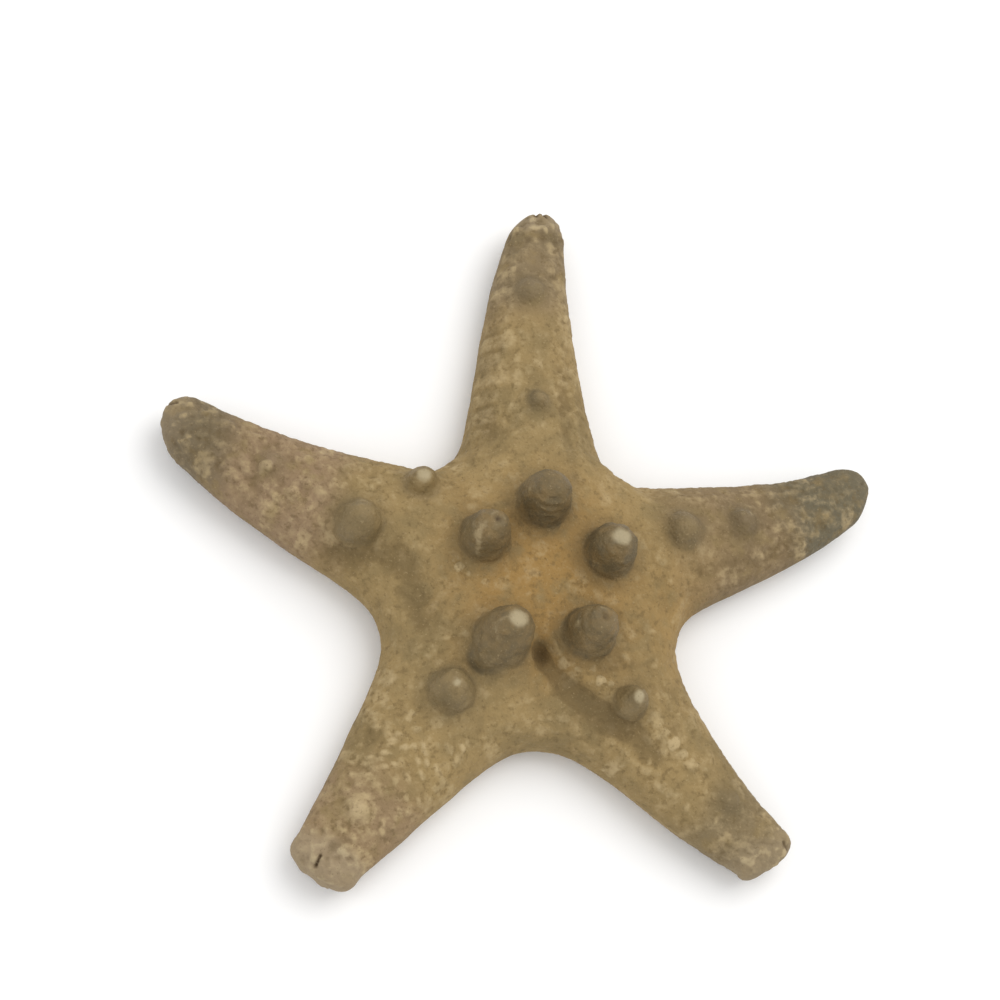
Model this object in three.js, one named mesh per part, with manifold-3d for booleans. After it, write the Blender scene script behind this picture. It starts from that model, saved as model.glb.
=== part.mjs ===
// A dried knobbly starfish: five tapering arms round a low domed disc, blunt horns on its back,
// and five grooves running from the mouth to the arm tips on its flat underside.
// Millimetres, +Z up. It grew as one piece, so it is one solid.
import * as THREE from "three";
import { mergeVertices } from "three/addons/utils/BufferGeometryUtils.js";
import Module from "manifold-3d";

const { degToRad, lerp, smoothstep } = THREE.MathUtils;

// Plan of the arms, anticlockwise. heading is in degrees from +X. length runs from the disc's
// centre to the tip. root and tip are half widths. sway bows the arm's middle and hook turns its
// tip, both to the left of its heading when positive. cap is how long the rounded end is and
// square how blunt, 2 being an ellipse, and lift how far the tip curls up off the table.
const ARMS = [
  {
    name: "north", heading: 90.3, length: 70.4, root: 12.1, tip: 4.3,
    sway: 0.6, hook: -2.2, cap: 6.0, square: 2.0, lift: 1.6,
  },
  {
    name: "west", heading: 160.1, length: 68.5, root: 12.8, tip: 4.7,
    sway: 0.4, hook: -4.2, cap: 5.5, square: 2.2, lift: 1.8,
  },
  {
    name: "southwest", heading: 234.3, length: 61.4, root: 13.1, tip: 5.2,
    sway: 0.2, hook: -0.2, cap: 3.2, square: 2.6, lift: 1.2,
  },
  {
    name: "southeast", heading: 309.9, length: 61.0, root: 11.4, tip: 4.9,
    sway: -0.4, hook: 3.6, cap: 3.4, square: 2.4, lift: 1.2,
  },
  {
    name: "east", heading: 20.3, length: 64.6, root: 12.2, tip: 4.3,
    sway: -1.5, hook: 1.2, cap: 5.5, square: 2.0, lift: 2.0,
  },
];

// Horns on the back. out is the distance from the disc's centre along the arm, and side the
// distance to the left of its axis. radius is at the foot, and height is above the skin. A higher
// blunt is a broader top, and lean moves the top towards +X and +Y.
const HORNS = [
  { arm: "north", out: 12.5, side: 0.0, radius: 4.6, height: 9.9, blunt: 5.5, lean: [0.0, 0.4] },
  { arm: "east", out: 12.0, side: 0.3, radius: 4.6, height: 9.3, blunt: 5.0, lean: [0.0, 0.1] },
  { arm: "southeast", out: 12.4, side: -0.5, radius: 4.6, height: 9.7, blunt: 6.0, lean: [0.2, 0.2] },
  { arm: "southwest", out: 14.0, side: 0.9, radius: 5.0, height: 9.3, blunt: 7.0, lean: [1.5, 1.8] },
  { arm: "southwest", out: 17.4, side: 0.6, radius: 3.3, height: 4.6, blunt: 4.0, lean: [0.4, 0.4] },
  { arm: "west", out: 11.4, side: -1.8, radius: 4.4, height: 9.3, blunt: 6.0, lean: [0.5, 0.3] },
  { arm: "west", out: 31.6, side: 3.6, radius: 4.4, height: 5.6, blunt: 4.0, lean: [0.6, 0.2] },
  { arm: "west", out: 24.2, side: -7.6, radius: 3.3, height: 4.8, blunt: 4.5, lean: [0.3, 0.0] },
  { arm: "west", out: 48.4, side: -0.6, radius: 2.8, height: 1.6, blunt: 3.5, lean: [0.0, 0.0] },
  { arm: "southwest", out: 25.6, side: -0.5, radius: 4.1, height: 5.4, blunt: 4.5, lean: [0.4, 0.5] },
  { arm: "southwest", out: 49.4, side: -0.9, radius: 2.9, height: 2.0, blunt: 3.0, lean: [0.0, 0.0] },
  { arm: "southeast", out: 25.4, side: -2.2, radius: 3.1, height: 6.0, blunt: 4.5, lean: [0.2, 0.3] },
  { arm: "southeast", out: 48.0, side: 1.2, radius: 2.6, height: 1.4, blunt: 3.5, lean: [0.0, 0.0] },
  { arm: "east", out: 26.6, side: 1.0, radius: 3.9, height: 3.2, blunt: 3.5, lean: [0.3, 0.2] },
  { arm: "east", out: 37.8, side: 0.4, radius: 3.0, height: 2.6, blunt: 3.5, lean: [0.3, 0.2] },
  { arm: "north", out: 31.4, side: 0.0, radius: 2.3, height: 2.2, blunt: 3.5, lean: [0.0, 0.3] },
  { arm: "north", out: 53.0, side: 0.8, radius: 3.2, height: 2.2, blunt: 3.5, lean: [0.0, 0.3] },
];

const NECK = 21.5; // along an arm's axis, where the arm leaves the disc
const CREST_DISC = 15.2; // height of the back at the disc's centre
const CREST_TIP = 7.4; // height of the back near an arm's tip, before its lift
const CREST_NECK = 14.2; // height of the back where an arm leaves the disc
const CREST_FALL = 1.15; // how late the crest starts to fall along the arm
const RIM = 4.2; // height of the widest line round the outline
const EDGE = 0.42; // smaller is a squarer shoulder
const DISC_FALL = 1.8; // how the disc slopes down between the arms
const FLAT_SHARE = 0.6; // share of the underside that is flat, out from an arm's midline
const LIFT_START = 0.45; // share of the arm's length where the underside leaves the table

const GROOVE_DEPTH = 2.6;
const GROOVE_MOUTH = 2.5; // half width at the mouth
const GROOVE_TIP = 1.3; // half width at the arm's tip
const HORN_FOOT = 1.6; // how far a horn is rooted below the skin
const HORN_SPREAD = 2.6; // how far a horn's top moves downhill, in mm, on a slope of 1 in 1
const FOOT_FLARE = 1.08; // width of a horn at its foot and near its top, as shares of its radius
const TOP_TAPER = 0.68;

const DISC_ROWS = 7;
const ARM_ROWS = 15;
const HALF_COLUMNS = 8;
const HORN_SIDES = 11;
const HORN_RINGS = 6;

// Half the angle between an arm and its neighbour. The row of points where both meet is shared.
function halfGap(index, step) {
  const there = (index + step + ARMS.length) % ARMS.length;
  const turn = (ARMS[there].heading - ARMS[index].heading) * step;
  return degToRad(THREE.MathUtils.euclideanModulo(turn, 360) / 2);
}

ARMS.forEach((arm, index) => {
  arm.leftGap = halfGap(index, 1);
  arm.rightGap = halfGap(index, -1);
});

// 0 at the neck and 1 at the tip.
const alongArm = (arm, out) => Math.max(0, (out - NECK) / (arm.length - NECK));

// How far the midline has moved to the left of the arm's straight axis.
function bend(arm, out) {
  const t = alongArm(arm, out);
  return arm.sway * 6.75 * t * t * (1 - t) + arm.hook * t ** 3;
}

// 1 along the arm, falling to 0 round the end of its tip.
function tipRound(arm, out) {
  const past = Math.max(0, (out - (arm.length - arm.cap)) / arm.cap);
  return Math.max(0, 1 - past ** arm.square) ** (1 / arm.square);
}

// Half the width, from the midline to the outline. In the disc it reaches the line shared with the
// next arm. Past the neck it flares out to meet that line square on, so the notch is one smooth curve.
function halfWidth(arm, out, side) {
  const gap = side > 0 ? arm.leftGap : arm.rightGap;
  if (out <= NECK) return out * Math.tan(gap);
  const taper = (arm.root - arm.tip) / (arm.length - NECK);
  const flare = NECK * Math.tan(gap) - arm.root;
  const reach = flare / (1 / Math.tan(gap) - taper);
  const straight = arm.root - taper * (out - NECK);
  return (straight + flare * Math.exp((NECK - out) / reach)) * tipRound(arm, out);
}

const lift = (arm, out) => arm.lift * smoothstep(out / arm.length, LIFT_START, 1.1) * 1.3;
const rimHeight = (arm, out) => RIM + lift(arm, out);

// How near a point is to the outline: 0 on the midline and 1 on the rim. In the disc it also grows
// with the distance from the centre, so that the back dips smoothly towards each notch.
function nearness(arm, out, share) {
  const gap = share > 0 ? arm.leftGap : arm.rightGap;
  const radius = Math.hypot(out, share * halfWidth(arm, out, share));
  const armness = smoothstep(out, 0.85 * NECK, 1.35 * NECK);
  const across = lerp(Math.sin((Math.PI / 2) * Math.abs(share)), Math.abs(share), armness);
  const near = Math.min(1, (radius * Math.cos(gap)) / NECK) ** DISC_FALL * across;
  return Math.sqrt(lerp(1, near * near, tipRound(arm, out) ** 2));
}

function backHeight(arm, out, share) {
  const neckward = lerp(CREST_DISC, CREST_NECK, Math.min(1, out / NECK) ** 2);
  const crest = lerp(neckward, CREST_TIP, alongArm(arm, out) ** CREST_FALL) - RIM;
  const near = nearness(arm, out, share);
  return rimHeight(arm, out) + crest * Math.max(0, 1 - near * near) ** EDGE;
}

function groove(arm, out, offset) {
  const half = lerp(GROOVE_MOUTH, GROOVE_TIP, alongArm(arm, out));
  const depth = GROOVE_DEPTH * lerp(1, 0.5, alongArm(arm, out)) * tipRound(arm, out);
  return depth * (1 - smoothstep(Math.abs(offset) / half, 0.1, 1));
}

function bellyHeight(arm, out, share, offset) {
  const past = Math.max(0, (nearness(arm, out, share) - FLAT_SHARE) / (1 - FLAT_SHARE));
  const rise = 1 - Math.sqrt(Math.max(0, 1 - past * past));
  const belly = lerp(lift(arm, out), rimHeight(arm, out), rise);
  return belly + groove(arm, out, offset) * (1 - rise);
}

// A point of the plan, from a distance along an arm's axis and an offset to the left of it.
function planPoint(arm, out, offset, height) {
  const turn = degToRad(arm.heading);
  const left = offset + bend(arm, out);
  return new THREE.Vector3(
    out * Math.cos(turn) - left * Math.sin(turn),
    out * Math.sin(turn) + left * Math.cos(turn),
    height,
  );
}

// Rows crowd towards the neck, where the outline turns sharply, and towards the tip.
function rowDistance(arm, row) {
  if (row <= DISC_ROWS) return NECK * (1 - (1 - row / DISC_ROWS) ** 1.4);
  const t = (row - DISC_ROWS) / ARM_ROWS;
  return lerp(NECK, arm.length, lerp(t, (1 - Math.cos(Math.PI * t)) / 2, 0.75));
}

// Columns crowd towards the rim on the back, and towards the groove on the belly.
function columnShare(column, onBack) {
  const t = Math.abs(column) / HALF_COLUMNS;
  return Math.sign(column) * (onBack ? Math.sin((Math.PI / 2) * t) : t ** 1.4);
}

function skinPoint(arm, row, column, onBack) {
  const out = rowDistance(arm, row);
  const share = columnShare(column, onBack);
  const offset = share * halfWidth(arm, out, column);
  const height = onBack ? backHeight(arm, out, share) : bellyHeight(arm, out, share, offset);
  return planPoint(arm, out, offset, height);
}

// The skin of one arm and its slice of the disc, back or belly, as triangles facing outwards.
function armSkin(arm, onBack) {
  const corners = [];
  const triangle = (a, b, c) => corners.push(...(onBack ? [a, b, c] : [a, c, b]));
  for (let row = 0; row < DISC_ROWS + ARM_ROWS; row++)
    for (let column = -HALF_COLUMNS; column < HALF_COLUMNS; column++) {
      const near = skinPoint(arm, row, column, onBack);
      const nearLeft = skinPoint(arm, row, column + 1, onBack);
      const far = skinPoint(arm, row + 1, column, onBack);
      const farLeft = skinPoint(arm, row + 1, column + 1, onBack);
      if (column >= 0) {
        triangle(near, far, nearLeft);
        triangle(far, farLeft, nearLeft);
      } else {
        triangle(near, far, farLeft);
        triangle(near, farLeft, nearLeft);
      }
    }
  return corners;
}

const wasm = await Module();
wasm.setup();

// A closed geometry as a solid. Points closer than 0.001 mm are merged, and slivers dropped.
function solidOf(geometry) {
  const bare = new THREE.BufferGeometry();
  bare.setAttribute("position", geometry.getAttribute("position"));
  if (geometry.index) bare.setIndex(geometry.index);
  const merged = mergeVertices(bare, 1e-3);
  const index = merged.index.array;
  const triVerts = [];
  for (let i = 0; i < index.length; i += 3) {
    const [a, b, c] = index.slice(i, i + 3);
    if (a !== b && b !== c && c !== a) triVerts.push(a, b, c);
  }
  const vertProperties = merged.attributes.position.array;
  return new wasm.Manifold(
    new wasm.Mesh({ numProp: 3, vertProperties, triVerts: new Uint32Array(triVerts) }),
  );
}

function bodySolid() {
  const corners = ARMS.flatMap((arm) => [...armSkin(arm, true), ...armSkin(arm, false)]);
  return solidOf(new THREE.BufferGeometry().setFromPoints(corners));
}

// A blunt cone, turned about its axis, standing on the skin and leaning a little with its slope.
function hornSolid({ arm: name, out, side, radius, height, blunt, lean }) {
  const arm = ARMS.find((one) => one.name === name);
  const share = side / halfWidth(arm, out, side);
  const foot = planPoint(arm, out, side, backHeight(arm, out, share));
  const profile = [new THREE.Vector2(0, -HORN_FOOT)];
  for (let ring = 0; ring <= HORN_RINGS; ring++) {
    const t = Math.sin((Math.PI / 2) * (ring / HORN_RINGS));
    const wide = radius * lerp(FOOT_FLARE, TOP_TAPER, t) * Math.sqrt(Math.max(0, 1 - t ** blunt));
    profile.push(new THREE.Vector2(wide, lerp(-HORN_FOOT, height, t)));
  }
  const geometry = new THREE.LatheGeometry(profile, HORN_SIDES);
  geometry.rotateX(Math.PI / 2);
  const step = 0.5;
  const slopeOut = (backHeight(arm, out - step, share) - backHeight(arm, out + step, share)) / (2 * step);
  const downhill = planPoint(arm, out + slopeOut, side, 0).sub(planPoint(arm, out, side, 0));
  const up = downhill.multiplyScalar(HORN_SPREAD).add(new THREE.Vector3(...lean, height)).normalize();
  geometry.applyQuaternion(new THREE.Quaternion().setFromUnitVectors(new THREE.Vector3(0, 0, 1), up));
  geometry.translate(foot.x, foot.y, foot.z);
  return solidOf(geometry);
}

function geometryOf(solid) {
  const { vertProperties, triVerts } = solid.getMesh();
  const geometry = new THREE.BufferGeometry();
  geometry.setAttribute("position", new THREE.BufferAttribute(vertProperties, 3));
  geometry.setIndex(new THREE.BufferAttribute(triVerts, 1));
  geometry.computeVertexNormals();
  return geometry;
}

const solid = HORNS.reduce((body, horn) => body.add(hornSolid(horn)), bodySolid());
const driedSkin = new THREE.MeshStandardMaterial({ color: 0x9f8456, roughness: 0.82, metalness: 0 });
const starfish = new THREE.Mesh(geometryOf(solid), driedSkin);
starfish.name = "starfish";

// The origin is on the table, under the middle of the outline's box.
starfish.geometry.computeBoundingBox();
const box = starfish.geometry.boundingBox;
starfish.position.set(-(box.min.x + box.max.x) / 2, -(box.min.y + box.max.y) / 2, -box.min.z);

const part = new THREE.Group();
part.add(starfish);

export default part;
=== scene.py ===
import itertools
import math

import bmesh
import bpy
import numpy as np
from mathutils import Matrix, Vector


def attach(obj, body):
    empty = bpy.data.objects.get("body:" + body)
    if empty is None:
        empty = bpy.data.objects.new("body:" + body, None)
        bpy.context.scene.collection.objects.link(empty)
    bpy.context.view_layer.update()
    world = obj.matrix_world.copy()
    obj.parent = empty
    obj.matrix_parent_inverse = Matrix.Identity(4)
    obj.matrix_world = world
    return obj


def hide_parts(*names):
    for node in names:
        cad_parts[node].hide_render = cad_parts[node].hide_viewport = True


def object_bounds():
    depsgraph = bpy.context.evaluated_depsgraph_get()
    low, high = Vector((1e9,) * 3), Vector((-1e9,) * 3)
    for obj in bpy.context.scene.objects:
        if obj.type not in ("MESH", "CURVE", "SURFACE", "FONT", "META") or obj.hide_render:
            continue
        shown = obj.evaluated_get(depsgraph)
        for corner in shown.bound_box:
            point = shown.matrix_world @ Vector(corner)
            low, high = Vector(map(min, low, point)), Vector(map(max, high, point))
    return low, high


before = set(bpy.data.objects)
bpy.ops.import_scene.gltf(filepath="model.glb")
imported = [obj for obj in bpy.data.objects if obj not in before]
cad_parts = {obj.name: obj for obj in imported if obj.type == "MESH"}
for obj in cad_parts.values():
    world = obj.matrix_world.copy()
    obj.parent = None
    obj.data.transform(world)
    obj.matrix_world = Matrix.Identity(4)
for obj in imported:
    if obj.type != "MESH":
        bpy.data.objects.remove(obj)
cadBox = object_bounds()
print("frame loaded")

# everything below is worked out in millimetres from the middle of the disc, with z = 0 on the table,
# and turned into metres in the frame's own place by toFrame()
discCentre = (1.457, -9.413)

# the plan of the five arms, anticlockwise: heading in degrees from +X, length from the disc's middle,
# half widths at root and tip, sway and hook to the left of the heading, how long the rounded end is
# and how square, and how far the tip curls up
arms = [
    {"name": "north", "heading": 90.3, "length": 70.4, "root": 12.1, "tip": 4.3, "sway": 0.6,
     "hook": -2.2, "cap": 6, "square": 2.0, "lift": 1.6},
    {"name": "west", "heading": 160.1, "length": 68.5, "root": 12.8, "tip": 4.7, "sway": 0.4,
     "hook": -4.2, "cap": 5.5, "square": 2.2, "lift": 1.8},
    {"name": "southwest", "heading": 234.3, "length": 61.4, "root": 13.1, "tip": 5.2, "sway": 0.2,
     "hook": -0.2, "cap": 3.2, "square": 2.6, "lift": 1.2},
    {"name": "southeast", "heading": 309.9, "length": 61.0, "root": 11.4, "tip": 4.9, "sway": -0.4,
     "hook": 3.6, "cap": 3.4, "square": 2.4, "lift": 1.2},
    {"name": "east", "heading": 20.3, "length": 64.6, "root": 12.2, "tip": 4.3, "sway": -1.5,
     "hook": 1.2, "cap": 5.5, "square": 2.0, "lift": 2.0},
]
armNames = [arm["name"] for arm in arms]

body = {
    "neck": 21.5,        # where an arm leaves the disc
    "crestDisc": 15.2,   # height of the back
    "crestNeck": 14.2,
    "crestTip": 7.4,
    "crestFall": 1.15,
    "rim": 4.2,          # height of the widest line
    "edge": 0.42,        # smaller is a squarer shoulder
    "discFall": 1.8,
    "bellyFlat": 0.6,
    "bellyGap": 0.45,    # the plates and spines of the belly reach down through this gap
    "liftStart": 0.45,
    "grooveDepth": 2.6,
    "grooveMouth": 2.5,
    "grooveTip": 1.3,
    "discRows": 26,
    "armRows": 96,
    "halfColumns": 24,
    "voxel": 0.34,
    "smoothing": 6,      # rounds
    "filleting": 60,
    "mostTriangles": 192000,
}

# the horns and bumps of the back: arm, mm out along it and to its left, radius at the foot, height,
# bluntness (a higher one is a broader top), and how dark its flank is, or below 0 how pale. Some have
# more: lean tips a horn towards +X and +Y, worn is the width of its pale rubbed tip, pit of a hole in
# it with the shade painted into that hole, rings how stepped its flank is, and fold the angle of a pale
# crease
hornTable = [
    ("north", 12.5, 0.0, 4.7, 9.9, 5.5, 1.0, {"lean": (0, 0.4), "rings": 1.0}),
    ("east", 12.0, 0.3, 4.6, 9.2, 5.0, 1.1, {"lean": (0, 0.1), "worn": 1.7, "rings": 0.35}),
    ("southeast", 12.4, -0.5, 4.6, 9.7, 6.0, 0.95,
     {"lean": (0.2, 0.2), "pit": 1.0, "pitShade": 0.35, "rings": 0.7}),
    ("southwest", 14.0, 0.9, 5.0, 9.2, 7.0, 0.9, {"lean": (1.5, 1.8), "worn": 1.6, "rings": 0.3}),
    ("southwest", 17.4, 0.6, 3.3, 4.6, 4.0, 0.95, {"lean": (0.4, 0.4), "rings": 0.2}),
    ("west", 11.4, -1.8, 4.4, 9.3, 6.0, 0.85,
     {"lean": (0.5, 0.3), "pit": 0.8, "pitShade": 0.9, "rings": 0.4, "fold": -1.75}),
    ("west", 31.6, 3.6, 4.4, 5.6, 4.0, 0.6, {"lean": (0.6, 0.2), "rings": 0.5}),
    ("west", 24.2, -7.6, 3.3, 4.8, 4.5, 0.35, {"lean": (0.3, 0), "worn": 1.4, "rings": 0.3}),
    ("west", 48.4, -0.6, 2.8, 1.6, 3.5, 0.3, {}),
    ("southwest", 25.6, -0.5, 4.1, 5.4, 4.5, 0.65, {"lean": (0.4, 0.5), "worn": 0.8, "rings": 0.5}),
    ("southwest", 49.4, -0.9, 2.9, 2.0, 3.0, -0.5, {}),
    ("southeast", 25.4, -2.2, 3.1, 6.0, 4.5, 0.75, {"lean": (0.2, 0.3), "worn": 1.2, "rings": 0.3}),
    ("southeast", 48.0, 1.2, 2.6, 1.4, 3.5, 0.6, {}),
    ("east", 26.6, 1.0, 3.9, 3.2, 3.5, 0.65, {"lean": (0.3, 0.2), "rings": 0.2}),
    ("east", 37.8, 0.4, 3.0, 2.6, 3.5, 0.6, {"lean": (0.3, 0.2), "rings": 0.1}),
    ("north", 31.4, 0.0, 2.3, 2.2, 3.5, 0.75, {"lean": (0, 0.3)}),
    ("north", 53.0, 0.8, 3.2, 2.2, 3.5, 0.45, {"lean": (0, 0.3)}),
]
hornKeys = ("arm", "out", "side", "radius", "height", "blunt", "grey")
plainHorn = {"lean": (0, 0), "worn": 0, "pit": 0, "rings": 0}
horns = [{**plainHorn, **dict(zip(hornKeys, row)), **more} for *row, more in hornTable]
hornSpread = 2.6     # how far a horn's top moves downhill, in mm, on a slope of 1 in 1


def mix(a, b, t):
    return a + (b - a) * t


def smoothStep(x, low, high):
    t = np.clip((x - low) / (high - low), 0, 1)
    return t * t * (3 - 2 * t)


def bell(distance, width):
    return np.exp(-(distance / width) ** 2)


def toFrame(points):
    # millimetres from the disc's middle to metres in the frame
    return (points + (*discCentre, 0)) / 1000


# noise, all of it repeatable

def scatter(cells, seed):
    # a number from 0 to 1 for every cell of a lattice
    total = np.full(cells.shape[:-1], seed * 7919 + 17, dtype=np.int64)
    for axis, prime in zip(range(cells.shape[-1]), (73856093, 19349663, 83492791)):
        total ^= cells[..., axis] * prime
    total = (total ^ (total >> 13)) * 1274126177 & 0xFFFFFFFF
    total = (total ^ (total >> 15)) * 2246822519 & 0xFFFFFFFF
    return ((total ^ (total >> 16)) & 0xFFFFF) / 0xFFFFF


def cloud(points, size, seed):
    # smooth noise from -1 to 1 with lumps about size mm across
    spot = points / size
    cell = np.floor(spot).astype(np.int64)
    part = spot - cell
    part = part * part * (3 - 2 * part)
    total = np.zeros(len(points))
    for corner in itertools.product((0, 1), repeat=points.shape[1]):
        weight = np.prod(np.where(np.array(corner) == 1, part, 1 - part), axis=1)
        total += weight * scatter(cell + np.array(corner), seed)
    return total * 2 - 1


def pebbles(points, size, seed, jitter):
    # how far each point is from the middle of its pebble and of the next one, and the pebble's number
    spot = points / size
    cell = np.floor(spot).astype(np.int64)
    first = second = np.full(len(points), 9.0)
    number = np.zeros(len(points))
    for corner in itertools.product((-1, 0, 1), repeat=points.shape[1]):
        there = cell + np.array(corner)
        middle = there + 0.5
        for axis in range(points.shape[1]):
            middle[:, axis] += (scatter(there, seed + 31 * axis) - 0.5) * jitter
        away = np.sqrt(((spot - middle) ** 2).sum(axis=1))
        nearer = away < first
        second = np.where(nearer, first, np.minimum(second, away))
        number = np.where(nearer, scatter(there, seed + 101), number)
        first = np.where(nearer, away, first)
    return first, second, number


# the smooth shape of the body

def halfGap(index, step):
    there = (index + step) % len(arms)
    turn = (arms[there]["heading"] - arms[index]["heading"]) * step
    return math.radians(turn % 360) / 2


for number, arm in enumerate(arms):
    arm["leftGap"] = halfGap(number, 1)
    arm["rightGap"] = halfGap(number, -1)


def armsAt(index):
    # the settings of the arm that each point belongs to, as arrays
    keys = [key for key in arms[0] if key != "name"]
    return {key: np.array([arm[key] for arm in arms])[index] for key in keys}


def alongArm(arm, out):
    return np.maximum(0, (out - body["neck"]) / (arm["length"] - body["neck"]))


def bend(arm, out):
    t = alongArm(arm, out)
    return arm["sway"] * 6.75 * t * t * (1 - t) + arm["hook"] * t ** 3


def tipRound(arm, out):
    past = np.clip((out - (arm["length"] - arm["cap"])) / arm["cap"], 0, 1)
    return (1 - past ** arm["square"]) ** (1 / arm["square"])


def halfWidth(arm, out, side):
    gap = np.where(side > 0, arm["leftGap"], arm["rightGap"])
    neck = body["neck"]
    taper = (arm["root"] - arm["tip"]) / (arm["length"] - neck)
    flare = neck * np.tan(gap) - arm["root"]
    reach = flare / (1 / np.tan(gap) - taper)
    straight = arm["root"] - taper * (out - neck)
    onArm = (straight + flare * np.exp(np.minimum(0, neck - out) / reach)) * tipRound(arm, out)
    return np.where(out <= neck, out * np.tan(gap), onArm)


def liftAt(arm, out):
    return arm["lift"] * 1.3 * smoothStep(out / arm["length"], body["liftStart"], 1.1)


def nearness(arm, out, share):
    # 0 on an arm's midline and 1 on the rim
    gap = np.where(share > 0, arm["leftGap"], arm["rightGap"])
    radius = np.hypot(out, share * halfWidth(arm, out, share))
    armness = smoothStep(out, 0.85 * body["neck"], 1.35 * body["neck"])
    across = mix(np.sin(np.pi / 2 * np.abs(share)), np.abs(share), armness)
    near = np.minimum(1, radius * np.cos(gap) / body["neck"]) ** body["discFall"] * across
    return np.sqrt(np.clip(mix(1, near * near, tipRound(arm, out) ** 2), 0, 1))


def backHeight(arm, out, share):
    inDisc = np.minimum(1, out / body["neck"])
    neckward = mix(body["crestDisc"], body["crestNeck"], inDisc ** 2)
    crest = mix(neckward, body["crestTip"], alongArm(arm, out) ** body["crestFall"]) - body["rim"]
    near = nearness(arm, out, share)
    return body["rim"] + liftAt(arm, out) + crest * (1 - near * near) ** body["edge"]


def grooveHalf(arm, out):
    return mix(body["grooveMouth"], body["grooveTip"], alongArm(arm, out))


def bellyHeight(arm, out, share, offset):
    past = np.clip((nearness(arm, out, share) - body["bellyFlat"]) / (1 - body["bellyFlat"]), 0, 1)
    rise = 1 - np.sqrt(1 - past * past)
    low = liftAt(arm, out) + body["bellyGap"]
    depth = body["grooveDepth"] * mix(1, 0.5, alongArm(arm, out)) * tipRound(arm, out)
    groove = depth * (1 - smoothStep(np.abs(offset) / grooveHalf(arm, out), 0.1, 1))
    return mix(low, body["rim"] + liftAt(arm, out), rise) + groove * (1 - rise)


def planPoint(arm, out, offset, height):
    turn = np.radians(arm["heading"])
    left = offset + bend(arm, out)
    x = out * np.cos(turn) - left * np.sin(turn)
    y = out * np.sin(turn) + left * np.cos(turn)
    return np.stack([x, y, height + 0 * x], axis=-1)


def findPlace(points):
    # the arm that each point belongs to, and its distances out along that arm and across it
    angle = np.degrees(np.arctan2(points[:, 1], points[:, 0]))
    best = np.full(len(points), 999.0)
    index = np.zeros(len(points), dtype=int)
    for number, arm in enumerate(arms):
        turn = (angle - arm["heading"] + 180) % 360 - 180
        gap = np.where(turn > 0, arm["leftGap"], arm["rightGap"])
        share = np.abs(turn) / np.degrees(gap)
        index = np.where(share < best, number, index)
        best = np.minimum(best, share)
    arm = armsAt(index)
    turn = np.radians(arm["heading"])
    out = points[:, 0] * np.cos(turn) + points[:, 1] * np.sin(turn)
    offset = points[:, 1] * np.cos(turn) - points[:, 0] * np.sin(turn) - bend(arm, out)
    share = offset / np.maximum(halfWidth(arm, out, offset), 0.3)
    return index, arm, out, offset, np.clip(share, -1, 1)


def bodySkin():
    # one closed skin of faces: back and belly of each arm with its slice of the disc
    points, faces = [], []
    rowsIn = body["neck"] * np.linspace(0, 1, body["discRows"] + 1)[:-1]
    t = np.linspace(0, 1, body["armRows"] + 1)
    crowded = mix(t, (1 - np.cos(np.pi * t)) / 2, 0.6)
    columns = np.linspace(-1, 1, 2 * body["halfColumns"] + 1)
    for arm in arms:
        out = np.concatenate([rowsIn, mix(body["neck"], arm["length"], crowded)])[:, None]
        for onBack in (True, False):
            share = (np.sin(np.pi / 2 * columns) if onBack else columns)[None, :]
            offset = share * halfWidth(arm, out, share)
            if onBack:
                height = backHeight(arm, out, share)
            else:
                height = bellyHeight(arm, out, share, offset)
            skin = planPoint(arm, out + 0 * share, offset, height)
            start = sum(len(some) for some in points)
            points.append(skin.reshape(-1, 3))
            rows, wide = skin.shape[:2]
            at = start + np.arange(rows * wide).reshape(rows, wide)
            quads = [at[:-1, :-1], at[1:, :-1], at[1:, 1:], at[:-1, 1:]]
            if not onBack:
                quads.reverse()
            faces.append(np.stack(quads, axis=-1).reshape(-1, 4))
    return np.concatenate(points), np.concatenate(faces)


def placeHorns():
    for horn in horns:
        arm = arms[armNames.index(horn["arm"])]
        out = horn["out"]
        share = horn["side"] / halfWidth(arm, out, horn["side"])
        foot = planPoint(arm, out, horn["side"], backHeight(arm, out, share))
        slope = backHeight(arm, out - 0.5, share) - backHeight(arm, out + 0.5, share)
        downhill = planPoint(arm, out + slope, horn["side"], 0) - planPoint(arm, out, horn["side"], 0)
        axis = np.array([*horn["lean"], horn["height"]]) + hornSpread * downhill
        horn["foot"] = foot
        horn["axis"] = axis / np.linalg.norm(axis)


def ringPoints(foot, axis, wide, high, sides):
    # rings of points round an axis, each so wide and so high above the foot
    angle = np.linspace(0, 2 * np.pi, sides, endpoint=False)
    ahead = np.array(Vector(axis).to_track_quat("Z", "Y").to_matrix())
    local = np.stack([wide[:, None] * np.cos(angle), wide[:, None] * np.sin(angle),
                      high[:, None] + 0 * angle], axis=-1)
    return local.reshape(-1, 3) @ ahead.T + foot


def ringFaces(stacks, rings, sides):
    # the faces between the rings of each stack
    at = np.arange(stacks * rings * sides).reshape(stacks, rings, sides)
    beside = np.roll(at, -1, axis=2)
    quads = np.stack([at[:, :-1], beside[:, :-1], beside[:, 1:], at[:, 1:]], axis=-1)
    return quads.reshape(-1, 4)


def hornSkin(horn, rings=26, sides=40, root=1.6):
    # a blunt cone, standing on its own axis
    t = np.sin(np.pi / 2 * np.linspace(0, 1, rings))
    wide = horn["radius"] * mix(1.08, 0.68, t) * np.sqrt(np.maximum(0, 1 - t ** horn["blunt"]))
    wide = np.concatenate([[0], wide])
    high = np.concatenate([[-root], mix(-root, horn["height"], t)])
    points = ringPoints(horn["foot"], horn["axis"], wide, high, sides)
    return points, ringFaces(1, len(high), sides)


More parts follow.
